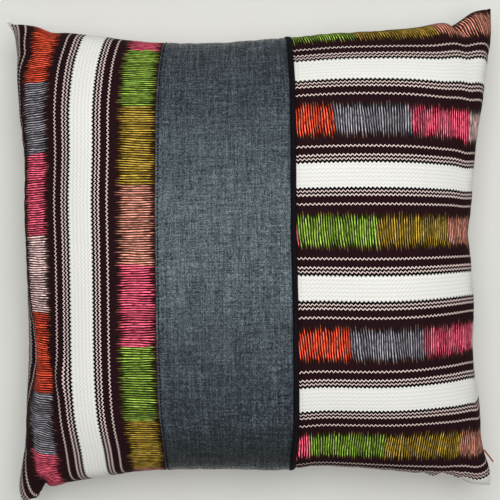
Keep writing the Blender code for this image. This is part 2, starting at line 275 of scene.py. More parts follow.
def side_line(start, end, axis, share):
    """Where the straight line between two corners lies along an axis, at a share from -1 to 1."""
    first, last = CORNERS[start][axis], CORNERS[end][axis]
    return first + (last - first) * (share + 1) / 2


def seam_left(along):
    return side_line("bottom_left", "top_left", 0, along) + smooth_through(DRAWN_IN_LEFT, along)


def seam_right(along):
    return side_line("bottom_right", "top_right", 0, along) - smooth_through(DRAWN_IN_RIGHT, along)


def seam_bottom(across):
    return side_line("bottom_left", "bottom_right", 1, across) + smooth_through(DRAWN_IN_BOTTOM, across)


def seam_top(across):
    return side_line("top_left", "top_right", 1, across) - smooth_through(DRAWN_IN_TOP, across)


def fullness(reach):
    """Height of the crown's section, from 1 in the middle, where reach is 0, to 0 at the seam."""
    reach = np.clip(reach, 0, 1)
    dome = (1 - reach**DOME_FLATNESS) ** DOME_SOFTNESS
    rim = 1 - reach**RIM_FLATNESS
    return (1 - RIM_SHARE) * dome + RIM_SHARE * rim


def reach_of(shares, half_width, crown):
    """How far towards the seam each share of one line of flat cloth comes to lie over a crown.

    The cloth keeps its length, so it advances less where the crown is steep.
    """
    steps = 1 - (1 - np.linspace(0, 1, ARC_STEPS)) ** 2
    stretches = np.hypot(np.diff(steps) * half_width, np.diff(fullness(steps)) * crown)
    travelled = np.concatenate([[0], np.cumsum(stretches)])
    return np.interp(np.abs(shares) * travelled[-1], travelled, steps)


def half_reaches(shares, low_side, high_side, crowns):
    """The reach of every share along each of many parallel lines of cloth: one row for each line."""
    lines = []
    for low, high, crown in zip(low_side, high_side, crowns):
        lines.append(np.where(shares < 0, reach_of(shares, low, crown), reach_of(shares, high, crown)))
    return np.array(lines)


def crown_place(columns, rows):
    """Where the filled cover's cloth lies, seen from above, and its fullness there, with no crease yet."""
    across, along = np.meshgrid(columns, rows, indexing="ij")
    middle_x = smooth_through(MIDDLE_LINE_X, rows)
    middle_y = smooth_through(MIDDLE_LINE_Y, columns)
    left, right = middle_x - seam_left(rows), seam_right(rows) - middle_x
    bottom, top = middle_y - seam_bottom(columns), seam_top(columns) - middle_y
    crown_across = FRONT_CROWN * fullness(reach_of(rows, HALF_COVER, FRONT_CROWN))
    crown_along = FRONT_CROWN * fullness(reach_of(columns, HALF_COVER, FRONT_CROWN))
    reach_x = half_reaches(columns, left, right, crown_across).T
    reach_y = half_reaches(rows, bottom, top, crown_along)
    x = middle_x + np.where(across < 0, -left, right) * reach_x
    y = middle_y[:, None] + np.where(along < 0, -bottom[:, None], top[:, None]) * reach_y
    for stray in SEAM_DRIFTS:
        near = np.exp(-(((across - stray["across"]) / stray["reach"]) ** 4))
        x += smooth_through(stray["drift"], rows) * near
    return x, y, fullness(reach_x) * fullness(reach_y)


def seam_lift(across, along, full):
    """How far the seam strays from its level: it sways a little, and its corners droop."""
    corner = np.abs(across * along) ** CORNER_SHARPNESS
    sway = sum(np.sin(wave["across"] * across + wave["along"] * along + wave["start"]) for wave in SWAY_WAVES)
    near_seam = np.clip(1 - full / SWAY_REACH, 0, 1)
    return (SEAM_SWAY * sway * (1 - corner) - CORNER_DROOP * corner) * near_seam


def crease_depth(across, along, creases):
    """How deep a table of creases sinks the cloth at each place."""
    depth = np.zeros(np.shape(across))
    for crease in creases:
        heading = np.radians(crease["heading"])
        right = across * HALF_COVER - crease["across"]
        up = along * HALF_COVER - crease["along"]
        lengthwise = (right * np.cos(heading) + up * np.sin(heading)) / crease["length"]
        crosswise = (up * np.cos(heading) - right * np.sin(heading)) / crease["width"]
        depth += crease["depth"] * np.exp(-2 * lengthwise**2 - 2 * crosswise**2)
    return depth * (1 - np.maximum(np.abs(across), np.abs(along)) ** CREASE_FADE)


def side_puckers(seed):
    """Short creases that run in from the four sides, each a little different."""
    dice = np.random.default_rng(seed)
    puckers = []
    for facing, level in ((0, 1), (0, -1), (1, 1), (1, -1)):
        for place in np.arange(-HALF_COVER + PUCKER_PITCH, HALF_COVER - PUCKER_PITCH / 2, PUCKER_PITCH):
            along_side = place + dice.uniform(-PUCKER_STRAY, PUCKER_STRAY) * PUCKER_PITCH
            length = dice.uniform(*PUCKER_LENGTH)
            inward = level * (HALF_COVER - length * dice.uniform(*PUCKER_START))
            puckers.append({
                "across": inward if facing == 0 else along_side,
                "along": along_side if facing == 0 else inward,
                "heading": (0 if facing == 0 else 90) + dice.uniform(-PUCKER_TURN, PUCKER_TURN),
                "length": length,
                "width": dice.uniform(*PUCKER_WIDTH),
                "depth": dice.uniform(*PUCKER_DEPTH),
            })
    return puckers


def unit(vectors):
    """The same directions with a length of 1."""
    return vectors / np.linalg.norm(vectors, axis=-1, keepdims=True)


def lengths_along(route):
    """How far each point of a route lies from its start, along it."""
    return np.concatenate([[0], np.cumsum(np.linalg.norm(np.diff(route, axis=0), axis=-1))])


def surface_normals(points):
    """Unit normals of a lattice of points, on the side that the front faces."""
    return unit(np.cross(np.gradient(points, axis=0), np.gradient(points, axis=1)))


def seam_normals(points):
    """Level directions straight out of the side seam, and zero everywhere inside it."""
    outward = np.zeros_like(points)
    for edge, turn in ((np.s_[0, :], -1), (np.s_[-1, :], 1), (np.s_[:, 0], 1), (np.s_[:, -1], -1)):
        run = np.gradient(points[edge], axis=0)
        level = turn * np.stack([run[:, 1], -run[:, 0], np.zeros(len(run))], -1)
        outward[edge] += unit(level)
    return outward


def pinched(points, across, along):
    """The cloth drawn in at the side seam, which leaves a fine valley all round."""
    middle = points.mean(axis=(0, 1))
    from_seam = (1 - np.maximum(np.abs(across), np.abs(along))) * HALF_COVER
    pull = SIDE_SEAM_PINCH * np.exp(-((from_seam / SIDE_SEAM_WIDTH) ** 2))
    inward = middle - points
    inward[..., 2] = 0
    return points + unit(inward) * pull[..., None]


def front_lattice(columns, rows):
    """The front's outer surface on a lattice of shares, with the direction that its thickness runs in."""
    across, along = np.meshgrid(columns, rows, indexing="ij")
    x, y, full = crown_place(columns, rows)
    seam = SEAM_HEIGHT + seam_lift(across, along, full)
    crown = np.stack([x, y, seam + TOUCH_GAP / 2 + FRONT_CROWN * full], -1)
    sunk = crease_depth(across, along, (*CREASES, *FINE_CREASES, *side_puckers(PUCKER_SEED)))
    points = pinched(crown - surface_normals(crown) * sunk[..., None], across, along)
    normals = surface_normals(points)
    outward = seam_normals(points)
    on_seam = np.abs(outward).sum(-1) > 0
    normals[on_seam] = outward[on_seam]
    return points, unit(normals)


def back_lattice(columns, rows):
    """The back's outer surface, which is flat where the cushion rests."""
    across, along = np.meshgrid(columns, rows, indexing="ij")
    x, y, full = crown_place(columns, rows)
    seam = SEAM_HEIGHT + seam_lift(across, along, full)
    sunk = crease_depth(across, along, side_puckers(PUCKER_SEED + 1))
    free_drop = BACK_CROWN * full - sunk
    soft_start = SEAM_HEIGHT - CONTACT_SOFTENING / 2
    pressed = np.clip((free_drop - soft_start) / CONTACT_SOFTENING, 0, 1)
    drop = np.minimum(free_drop, soft_start) + CONTACT_SOFTENING * (pressed - pressed**2 / 2)
    under_seam = TOUCH_GAP / 2
    points = np.stack([x, y, seam - under_seam - drop * (1 - under_seam / SEAM_HEIGHT)], -1)
    return pinched(points, across, along)


def shares_between(start, end, cell):
    """Even shares between two places on the flat cloth, in metres, with fine steps at both ends."""
    steps = EDGE_STEPS
    inner_start, inner_end = start + steps[-1], end - steps[-1]
    count = round((inner_end - inner_start) / cell)
    even = np.linspace(inner_start, inner_end, count + 1)
    return np.concatenate([start + steps[:-1], even, end - steps[-2::-1]]) / HALF_COVER


def new_piece(name, mesh, material):
    """One named piece of the cushion that rides on the only body."""
    piece = bpy.data.objects.new(name, mesh)
    mesh.materials.append(material)
    bpy.context.scene.collection.objects.link(piece)
    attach(piece, "root")
    return piece


def mesh_from(name, body):
    """A smooth mesh from a bmesh, which is then let go."""
    mesh = bpy.data.meshes.new(name)
    body.to_mesh(mesh)
    body.free()
    mesh.shade_smooth()
    return mesh


def closed_mesh(name, body):
    """A smooth mesh from a closed bmesh, with its faces turned outwards."""
    bmesh.ops.recalc_face_normals(body, faces=body.faces[:])
    if body.calc_volume(signed=True) < 0:
        bmesh.ops.reverse_faces(body, faces=body.faces[:])
    return mesh_from(name, body)


def lay_flat(body, flat):
    """Writes each vertex's place on the flat cloth, in metres, into the UV map of its faces."""
    uv_layer = body.loops.layers.uv["cloth"]
    for face in body.faces:
        for loop in face.loops:
            loop[uv_layer].uv = flat[loop.vert]


def cloth_between(name, outer, inner, places, block_places, swings):
    """A closed piece of cloth between two lattices of points that share their columns and rows.

    places are its stripe coordinates in metres, kept as a UV map, block_places count its colour blocks, and
    swings tell how far its zigzag lines swing.
    """
    cells_across, cells_along = outer.shape[0] - 1, outer.shape[1] - 1
    body = bmesh.new()
    bmesh.ops.create_grid(body, x_segments=cells_across, y_segments=cells_along, size=1.0)
    raised = bmesh.ops.extrude_face_region(body, geom=body.faces[:], use_keep_orig=True)["geom"]
    raised_vertices = [item for item in raised if isinstance(item, bmesh.types.BMVert)]
    bmesh.ops.translate(body, vec=(0, 0, 1), verts=raised_vertices)
    body.loops.layers.uv.new("cloth")
    block_layer = body.verts.layers.float.new("colour_block")
    swing_layer = body.verts.layers.float.new("zigzag_swing")
    flat = {}
    for vertex in body.verts:
        column = round((vertex.co.x + 1) / 2 * cells_across)
        row = round((vertex.co.y + 1) / 2 * cells_along)
        flat[vertex] = places[column, row]
        vertex[block_layer] = block_places[column, row]
        vertex[swing_layer] = swings[column, row]
        skin = outer if vertex.co.z > 0.5 else inner
        vertex.co = skin[column, row]
    lay_flat(body, flat)
    mesh = closed_mesh(name, body)
    mesh.set_sharp_from_angle(angle=np.radians(SHARP_EDGE))
    return mesh


def block_place(bands, along, across, skew=0.0):
    """How many colour changes lie before each place, in the ikat band that is nearest."""
    centres = np.array([band["across"] for band in bands])
    nearest = np.abs(across[..., None] - centres).argmin(-1)
    counted = np.zeros(along.shape)
    for number, band in enumerate(bands):
        changes = np.array(band["changes"])
        beyond = BLOCKS_BEYOND * BLOCK_LENGTH
        knots = np.concatenate([[changes[0] - beyond], changes, [changes[-1] + beyond]])
        last = len(changes) - 1 + BLOCKS_BEYOND
        numbers = band["first"] + np.concatenate([[-BLOCKS_BEYOND], np.arange(len(changes)), [last]])
        skewed = along + skew * (across - band["across"])
        counted = np.where(nearest == number, np.interp(skewed, knots, numbers), counted)
    return counted


def folded_edge(inset):
    """The round fold of a sewn edge."""
    fold = np.clip(FOLD_RADIUS - inset, 0, None)
    return np.sqrt(FOLD_RADIUS**2 - fold**2) - FOLD_RADIUS


def piped_edge(inset):
    """The cloth that turns down beside the piping and follows its side."""
    aside = inset + PIPED_EDGE
    clear = PIPING_RADIUS + TOUCH_GAP / 2
    cove = np.clip(np.sqrt(np.clip(clear**2 - aside**2, 0, None)) - PIPING_LIFT, 0, None)
    shoulder = np.clip(aside - np.sqrt(clear**2 - PIPING_LIFT**2), 0, None)
    return -cove - PIPED_SHOULDER * np.exp(-((shoulder / PIPED_SHOULDER_WIDTH) ** 2))


def zigzag_swings(points, axis):
    """How far the zigzag swings: the cloth is drawn open where it turns down towards a side."""
    steps = np.gradient(points, axis=axis)
    level = np.linalg.norm(steps[..., :2], axis=-1) / np.linalg.norm(steps, axis=-1)
    return np.clip(1 / np.clip(level, STEEPEST_LEVEL, 1), 1, WIDEST_SWING)


def panel_relief(columns, left_hem, right_hem):
    """How far a panel's outer surface rises or sinks beside its sewn edges, for each column."""
    place = columns * HALF_COVER
    lift = np.zeros(len(columns))
    for edge, hem in ((place[0], left_hem), (place[-1], right_hem)):
        inset = np.abs(place - edge)
        if hem in ("seam", "stitched"):
            lift += folded_edge(inset)
        if hem in ("piped", "piped and pressed"):
            lift += piped_edge(inset)
        if hem == "stitched":
            lift += ALLOWANCE_LIFT * np.exp(-((inset / STITCH_INSET) ** 4))
            lift -= STITCH_SINK * np.exp(-(((inset - STITCH_INSET) / STITCH_DENT) ** 2))
        if hem == "piped and pressed":
            lift -= GROOVE_DEPTH * np.exp(-(((inset - GROOVE_INSET) / GROOVE_WIDTH) ** 2))
    return lift


def front_panel(name, start, end, hems, stripes, stripe_axis, material):
    """A sheet of the front between two places on the flat cloth.

    Its stripes follow one another along the lattice's stripe_axis.
    """
    columns = shares_between(start, end, CELL)
    rows = shares_between(-HALF_COVER, HALF_COVER, CELL)
    around = np.concatenate([[-1.0], columns, [1.0]])
    keep = slice(1, -1)
    if start == -HALF_COVER:
        around, keep = around[1:], slice(0, -1)
    if end == HALF_COVER:
        around, keep = around[:-1], slice(keep.start, None)
    points, normals = front_lattice(around, rows)
    points, normals = points[keep], normals[keep]
    relief = panel_relief(columns, *hems)
    outer = points + normals * relief[:, None, None]
    inner = points - normals * CLOTH_THICKNESS
    for edge, neighbour, seam in ((0, 1, start), (-1, -2, end)):
        if abs(seam) == HALF_COVER:
            continue
        for skin in (outer, inner):
            inward = skin[neighbour] - skin[edge]
            skin[edge] += unit(inward) * TOUCH_GAP / 2
    places, blocks = stripes(*np.meshgrid(columns * HALF_COVER, rows * HALF_COVER, indexing="ij"))
    swings = zigzag_swings(points, stripe_axis)
    piece = new_piece(name, cloth_between(name, outer, inner, places, blocks, swings), material)
    return piece


def bow_at(bow, right, up):
    """How strongly each place on the flat cloth belongs to a bow, which is 1 in its middle."""
    aside = (right - bow["across"]) / bow["reach_across"]
    beyond = (up - bow["along"]) / bow["reach_along"]
    return np.exp(-(aside**2) - beyond**2)


def left_stripes(right, up):
    """The left panel's stripes run down the cushion, and count leftwards from its seam."""
    along, across = -up, LEFT_SEAM - right
    from_white = across - LEFT_WHITE_CENTRE
    eased = LEFT_EASE * (1 - np.exp(-((from_white / LEFT_EASE_START) ** 2)))
    eased *= np.exp(-((from_white / LEFT_EASE_END) ** 4))
    eased -= LEFT_STRETCH * np.exp(-((across / LEFT_STRETCH_REACH) ** 2))
    eased += bow_at(LEFT_PULL, right, up) * LEFT_PULL["pull"]
    return np.stack([along, from_white - eased], -1), block_place(LEFT_BANDS, along, across)


def right_stripes(right, up):
    """The right panel's stripes run across the cushion and count downwards. Its weave is a little skewed."""
    risen = up - sum(bow["rise"] * bow_at(bow, right, up) for bow in RIGHT_BOWS)
    across = RIGHT_WHITE_CENTRE - risen
    along = right - RIGHT_SKEW * across
    return np.stack([along, across], -1), block_place(RIGHT_BANDS, right, risen, RIGHT_SKEW)


def back_stripes(right, up):
    """The back's stripes run down the cushion."""
    return np.stack([-up, right - BACK_WHITE_CENTRE], -1), block_place(BACK_BANDS, -up, right)


def plain_places(right, up):
    """The plain panel has no stripes, so its places are those of the cover."""
    return np.stack([right, up], -1), np.zeros(right.shape)


def cushion_body(material):
    """The filling with the back panel. A ledge at the seam carries the front panels' edges."""
    columns = shares_between(-HALF_COVER, HALF_COVER, BACK_CELL)
    points, normals = front_lattice(columns, columns)
    filling = points - normals * (CLOTH_THICKNESS + TOUCH_GAP)
    upper = filling.copy()
    for edge in (np.s_[0, :], np.s_[-1, :], np.s_[:, 0], np.s_[:, -1]):
        upper[edge] = filling[edge] - (0, 0, TOUCH_GAP)
    places, blocks = back_stripes(*np.meshgrid(columns * HALF_COVER, columns * HALF_COVER, indexing="ij"))
    under = back_lattice(columns, columns)
    mesh = cloth_between("cushion_body", upper, under, places, blocks, zigzag_swings(under, 0))
    piece = new_piece("cushion_body", mesh, material)
    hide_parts("filled_back")
    return piece


def tube_along(name, route, normals, radius_at, around):
    """A round tube along a route, with closed ends. Its UV map holds metres along and around it."""
    run = unit(np.gradient(route, axis=0))
    side = unit(np.cross(run, normals))
    up = np.cross(side, run)
    lengths = lengths_along(route)
    body = bmesh.new()
    bmesh.ops.create_grid(body, x_segments=len(route) - 1, y_segments=around, size=1.0)
    body.loops.layers.uv.new("cloth")
    flat = {}
    for vertex in body.verts:
        station = round((vertex.co.x + 1) / 2 * (len(route) - 1))
        turn = (vertex.co.y + 1) / 2
        radius = radius_at(lengths[station], lengths[-1], turn)
        angle = turn * 2 * np.pi
        flat[vertex] = (lengths[station], turn * 2 * np.pi * radius)
        offset = side[station] * np.cos(angle) + up[station] * np.sin(angle)
        vertex.co = route[station] + offset * radius
    lay_flat(body, flat)
    bmesh.ops.remove_doubles(body, verts=body.verts[:], dist=MERGE_DISTANCE)
    rims = [edge for edge in body.edges if edge.is_boundary]
    bmesh.ops.holes_fill(body, edges=rims, sides=0)
    return closed_mesh(name, body)


def beside_seam(place, rows):
    """Points and normals of the front along a line at one place across the flat cloth."""
    share = place / HALF_COVER
    beside = PIPING_CLEARANCE / HALF_COVER
    points, normals = front_lattice(np.array([-1, share - beside, share, share + beside, 1]), rows)
    return points[2], normals[2]


def piping_cord(material):
    """The covered cord in the seam between the plain panel and the right-hand striped panel."""
    rows = np.clip(shares_between(-HALF_COVER, HALF_COVER, CELL), -PIPING_REACH, PIPING_REACH)
    rows = np.unique(rows)
    points, normals = beside_seam(PIPING_SEAM, np.concatenate([[-1], rows, [1]]))
    lengths = lengths_along(points[1:-1])
    from_ends = np.minimum(lengths, lengths[-1] - lengths)
    sewn_down = np.exp(-((from_ends / PIPING_END) ** 4))
    route = points[1:-1] + normals[1:-1] * (PIPING_LIFT * (1 - sewn_down))[:, None]

    def radius_at(length, whole, turn):
        from_end = min(length, whole - length)
        capped = 1 - min(from_end / PIPING_CAP, 1)
        rounding = np.sqrt(np.clip(1 - capped**2, PIPING_CAP_LEAST, 1))
        angle = turn * 2 * np.pi
        uneven = sum(
            wave["swell"] * np.sin(length * wave["rate"] + wave["turns"] * angle) for wave in PIPING_WAVER)
        flat = 1 - PIPING_PRESSED * np.exp(-((from_end / PIPING_END) ** 4))
        oval = 1 / np.sqrt(np.cos(angle) ** 2 + (np.sin(angle) / flat) ** 2)
        return (PIPING_RADIUS + uneven) * rounding * oval

    mesh = tube_along("piping_cord", route, normals[1:-1], radius_at, around=20)
    piece = new_piece("piping_cord", mesh, material)
    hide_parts("piping")
    return piece


def edge_stitches(material):
    """The row of stitches that holds down the plain panel's folded left edge."""
    place = LEFT_SEAM + STITCH_INSET
    rows = np.linspace(-STITCH_REACH, STITCH_REACH, STITCH_PLACES)
    points, normals = beside_seam(place, rows)
    lengths = lengths_along(points)

    def read(rows_of, place):
        return np.array([np.interp(place, lengths, rows_of[:, axis]) for axis in range(3)])

    body = bmesh.new()
    for middle in np.arange(STITCH_PITCH, lengths[-1] - STITCH_PITCH, STITCH_PITCH):
        centre, up = read(points, middle), read(normals, middle)
        run = unit(read(points, middle + STITCH_PITCH / 2) - centre)
        side = np.cross(run, up)
        seat = Vector(centre + up * (ALLOWANCE_LIFT - STITCH_SINK + STITCH_PROUD))
        turned = Matrix((run, side, up)).transposed().to_4x4()
        sized = Matrix.Diagonal((STITCH_LENGTH / 2, STITCH_RADIUS, STITCH_RADIUS, 1))
        bmesh.ops.create_icosphere(body, subdivisions=2, radius=1.0,
                                   matrix=Matrix.Translation(seat) @ turned @ sized)
    return new_piece("edge_stitches", mesh_from("edge_stitches", body), material)


def loose_yarn(material):
    """A short two-ply yarn that sticks out of the right-hand seam."""
    across, along = np.array([-1.0, 1.0]), np.array([-1.0, YARN_ALONG, 1.0])
    x, y, full = crown_place(across, along)
    lift = seam_lift(np.array(1.0), np.array(YARN_ALONG), full[1, 1])
    root = Vector((x[1, 1], y[1, 1], SEAM_HEIGHT + lift))
    start = root + YARN_RUN.normalized() * (YARN_RADIUS + TOUCH_GAP)
    end = root + YARN_RUN
    route = np.array([start.lerp(end, cut / YARN_CUTS) for cut in range(YARN_CUTS + 1)])
    normals = np.tile((0.0, 0.0, 1.0), (len(route), 1))

    def radius_at(length, whole, turn):
        twist = length / whole * YARN_HALF_TURNS * np.pi
        swell = YARN_PLY_SWELL * np.cos(YARN_PLIES * (turn * 2 * np.pi - twist))
        return YARN_RADIUS * (YARN_PLY_RADIUS + swell)

    mesh = tube_along("loose_yarn", route, normals, radius_at, around=16)
    piece = new_piece("loose_yarn", mesh, material)
    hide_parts("yarn_end")
    return piece


def dye(red, green, blue):
    """A colour from its screen values, from 0 to 255."""
    values = np.array((red, green, blue)) / 255
    linear = np.where(values <= 0.04045, values / 12.92, ((values + 0.055) / 1.055) ** 2.4)
    return (*(float(value) for value in linear), 1.0)


WHITE_COTTON = dye(232, 231, 226)
WHITE_RIB = dye(215, 215, 208)
MAROON_GROUND = dye(35, 16, 20)
BLACK_THREAD = dye(6, 3, 4)
PINK_THREAD = dye(236, 212, 206)
IKAT_DYES = (
    dye(216, 60, 20),
    dye(118, 117, 128),
    dye(220, 74, 106),
    dye(214, 180, 176),
    dye(220, 74, 106),
    dye(114, 152, 34),
    dye(150, 122, 2),
    dye(184, 117, 98),
)
SLATE_DARK = dye(37, 41, 45)
SLATE_BASE = dye(69, 77, 81)
SLATE_PALE = dye(116, 128, 133)
# Darker, more purple tints of the slate away from its middle. The middle's paler colour is painted sheen.
SLATE_OUTSIDE_SHEEN = (0.36, 0.32, 0.40, 1.0)
SLATE_PALE_OUTSIDE_SHEEN = (0.58, 0.55, 0.61, 1.0)

# Where the slate cloth's painted sheen is strongest and how far it reaches, and where the painted shade at
# its lower rim begins and is full, in metres up the flat cloth
SHEEN_MIDDLE = 0.012
SHEEN_REACH = (0.015, 0.135)
SHADED_LOWER_RIM = (-0.136, -0.188)
LOWER_RIM_PAINTED_SHADE = 0.72

PIPING_BLACK = dye(19, 17, 22)
STITCH_BLACK = dye(14, 13, 17)
RUST_BROWN = dye(158, 44, 24)
TIP_TAN = dye(150, 96, 52)
FLECK_PINK = dye(168, 128, 118)
# Warm white that the ikat strands' painted highlight is tinted towards
WARM_HIGHLIGHT = dye(255, 236, 214)
SLATE_LUSTRE = dye(216, 248, 252)
FLOOR_PALE = dye(222, 222, 217)

# The stripes of half a repeat, from the middle of the white band: where each begins, in metres
STRIPES = (
    (0.0, WHITE_COTTON), (0.01050, BLACK_THREAD), (0.01296, PINK_THREAD), (0.01404, BLACK_THREAD),
    (0.01622, PINK_THREAD), (0.01730, BLACK_THREAD), (0.01835, MAROON_GROUND), (0.02300, BLACK_THREAD),
    (0.02386, PINK_THREAD), (0.02496, BLACK_THREAD), (0.02580, MAROON_GROUND),
)

# A grain is the size of a noise's patches along and across, in metres. A spread is what a value from 0 to 1
# is multiplied by, and what is then added. A limit is where a mask begins and where it is full
DRIFT_GRAIN = (0.090, 0.030)
LIE_GRAIN = (0.0030, 0.0040)
LIE_STRAY = 0.00020
WEAR_GRAIN = (0.080, 0.080)
LINT_GRAIN = (0.0016, 0.0016)

# The ikat strands: where they end and taper, how they swell, and how their painted highlight streaks and
# dulls towards the band's edges
END_SPREAD = (0.0062, IKAT_HALF_WIDTH - 0.0040)
END_TAPER = 0.0044
END_SEED = 3.0
TAPER_SPREAD = (0.5, 0.5)
NUMBER_TO_SWELL = 0.011
SWELL_GRAIN = (0.0050, 0.0065)
SWELL_SPREAD = (1.2, 0.40)
WIDTH_SPREAD = (0.40, 0.80)
BODY_LIMIT = (1.15, 0.60)
CORE_LIMIT = (1.0, 0.0)
NUMBER_TO_STREAK = 0.013
STREAK_GRAIN = (0.0050, 0.0055)
STREAK_SPREAD = (2.4, -0.32)
DULL_LIMIT = (0.52, 1.02)
DULLNESS = 0.84
HIGHLIGHT_SPREAD = (0.60, 0.55)
PLAIN_TIPS = 0.45
TIP_LIMIT = (0.0042, 0.0022)
TIP_BRIGHTNESS = 0.55

# The two sets of strands in an ikat band, which sway and lean together
SWAY_GRAIN = (0.016, 0.030)
STRAND_SWAY = 0.0026
LEAN_GRAIN = (0.060, 1.0)
STRAND_LEAN = 0.08
UNDER_SHOWS = 0.35
UNDER_DIMMED = {"Mask": 0.50, "Tone": 0.42, "Shift": 1.0, "Tip": 1.0}

# The striped cotton's shading and relief
FLOAT_SPREAD = (1.1, 0.79)
WHITE_SOFTNESS = 0.0001
RIB_LIMIT = (0.0006, 0.0001)
TIP_SHARE = 0.85
FLECK_GRAIN = (0.0010, 0.0024)
FLECK_LIMIT = (0.66, 0.74)
FLECK_SHARE = 0.36
# How the strands' painted highlight is tinted and brightened, and how dark their painted shade is
HIGHLIGHT_TINT_SHARE = 0.045
STRAND_HIGHLIGHT = 3.25
STRAND_SHADE = 0.20
GAP_DYED = 0.03
GAP_SHADE = 0.32
IKAT_SOFTNESS = 0.003
COTTON_SPREAD = (0.12, 0.94)
BEYOND_WHITE = (0.0128, 0.0132)
STRAND_HEIGHT = 0.60
COTTON_HEIGHT = 0.18
RIB_SINK = 0.45
FLOAT_HEIGHT = 0.35
GROUND_SINK = 0.10
COTTON_RELIEF = 0.00035

# The slate linen's threads, grain and shading
WARP = {"stretch": 30.0, "seed": 3.5, "share": 0.24}
WEFT = {"stretch": 22.0, "seed": 81.5, "share": 0.22}
GRAIN_SIZE = (0.00090, 0.00084)
GRAIN_SHARE = 0.54
THREAD_STARTS = 17.0
SLATE_DARK_LIMIT = (0.48, 0.24)
SLATE_PALE_LIMIT = (0.50, 0.86)
SLATE_ROUGH_SPREAD = (-1.30, 1.04)
SLATE_TONE_HEIGHT = 0.8
SLATE_RELIEF = 0.00012

# The black cotton, the rust yarn and the plain weave
BLACK_SPREAD = (1.2, 0.4)
BLACK_RELIEF = 0.00012
YARN_TWIST = 2.0
YARN_GRAIN = (0.0003, 0.0030)
YARN_SPREAD = (1.0, 0.5)
YARN_RELIEF = 0.00005
WEAVE_LIMIT = (-0.35, 0.35)
SLUB_WIDTH = 1.3


def connect(tree, value, socket):
    """Gives a socket a plain value or another node's output."""
    if isinstance(value, bpy.types.NodeSocket):
        tree.links.new(value, socket)
    else:
        socket.default_value = value


def maths(tree, operation, *values, clamp=False):
    """One Math node."""
    node = tree.nodes.new("ShaderNodeMath")
    node.operation = operation
    node.use_clamp = clamp
    for value, socket in zip(values, node.inputs):
        connect(tree, value, socket)
    return node.outputs[0]


def soft_step(tree, value, low, high):
    """0 below low and 1 above high, or the other way round if low is the greater."""
    node = tree.nodes.new("ShaderNodeMapRange")
    node.interpolation_type = "SMOOTHSTEP"
    connect(tree, value, node.inputs["Value"])
    connect(tree, low, node.inputs["From Min"])
    connect(tree, high, node.inputs["From Max"])
    return node.outputs["Result"]


def blend_colours(tree, share, first, second, kind="MIX"):
    """One colour Mix node."""
    node = tree.nodes.new("ShaderNodeMix")
    node.data_type = "RGBA"
    node.blend_type = kind
    colours = [socket for socket in node.inputs if socket.type == "RGBA"]
    connect(tree, share, node.inputs[0])
    connect(tree, first, colours[0])
    connect(tree, second, colours[1])
    return next(socket for socket in node.outputs if socket.type == "RGBA")


def place_from(tree, x, y):
    """A flat vector from two numbers."""
    node = tree.nodes.new("ShaderNodeCombineXYZ")
    connect(tree, x, node.inputs["X"])
    connect(tree, y, node.inputs["Y"])
    return node.outputs[0]


def noise(tree, x, y, x_size, y_size, detail=2.0):
    """Flat noise whose grains have the given sizes in metres, from 0 to 1."""
    node = tree.nodes.new("ShaderNodeTexNoise")
    node.noise_dimensions = "2D"
    node.inputs["Scale"].default_value = 1.0
    node.inputs["Detail"].default_value = detail
    grains = place_from(tree, maths(tree, "DIVIDE", x, x_size), maths(tree, "DIVIDE", y, y_size))
    tree.links.new(grains, node.inputs["Vector"])
    return node.outputs[0]


def dice(tree, x, y):
    """A random value from 0 to 1 for each pair of numbers."""
    node = tree.nodes.new("ShaderNodeTexWhiteNoise")
    node.noise_dimensions = "2D"
    tree.links.new(place_from(tree, x, y), node.inputs["Vector"])
    return node.outputs["Value"]


def kept_number(tree, name):
    """A number that the piece's mesh keeps for each of its points."""
    node = tree.nodes.new("ShaderNodeAttribute")
    node.attribute_name = name
    return node.outputs["Fac"]


def pick_colour(tree, share, stops):
    """A colour that changes at each stop, from a table of (share, colour)."""
    node = tree.nodes.new("ShaderNodeValToRGB")
    ramp = node.color_ramp
    ramp.interpolation = "CONSTANT"
    ramp.elements.remove(ramp.elements[1])
    for number, (position, colour) in enumerate(stops):
        stop = ramp.elements[0] if number == 0 else ramp.elements.new(position)
        stop.position = position
        stop.color = colour
    connect(tree, share, node.inputs["Fac"])
    return node.outputs["Color"]


def new_group(name, inputs, outputs):
    """A shader node group with number sockets, and its tree's two ends."""
    tree = bpy.data.node_groups.new(name, "ShaderNodeTree")
    for socket in inputs:
        tree.interface.new_socket(socket, in_out="INPUT", socket_type="NodeSocketFloat")
    for socket in outputs:
        tree.interface.new_socket(socket, in_out="OUTPUT", socket_type="NodeSocketFloat")
    return tree, tree.nodes.new("NodeGroupInput").outputs, tree.nodes.new("NodeGroupOutput").inputs


def use_group(tree, group, **values):
    """Places a node group in a material and returns its outputs."""
    node = tree.nodes.new("ShaderNodeGroup")
    node.node_tree = group
    for name, value in values.items():
        connect(tree, value, node.inputs[name])
    return node.outputs


def zigzag_weave():
    """Shifts a stripe's place across the cloth in an even zigzag along it, as a float weave does."""
    tree, given, result = new_group("zigzag_weave", ("Along", "Across", "Pitch", "Swing"), ("Across", "Beat"))
    drift = noise(tree, given["Along"], given["Across"], *DRIFT_GRAIN, detail=1.0)
    along = maths(tree, "MULTIPLY_ADD", drift, given["Pitch"], given["Along"])
    half = maths(tree, "MULTIPLY", given["Pitch"], 0.5)
    beat = maths(tree, "DIVIDE", maths(tree, "PINGPONG", along, half), half)
    tree.links.new(beat, result["Beat"])
    swing = maths(tree, "MULTIPLY", maths(tree, "SUBTRACT", beat, 0.5), given["Swing"])
    uneven = noise(tree, given["Along"], given["Across"], *LIE_GRAIN, detail=1.0)
    uneven = maths(tree, "MULTIPLY", maths(tree, "SUBTRACT", uneven, 0.5), LIE_STRAY)
    shifted = maths(tree, "ADD", maths(tree, "ADD", given["Across"], swing), uneven)
    tree.links.new(shifted, result["Across"])
    return tree


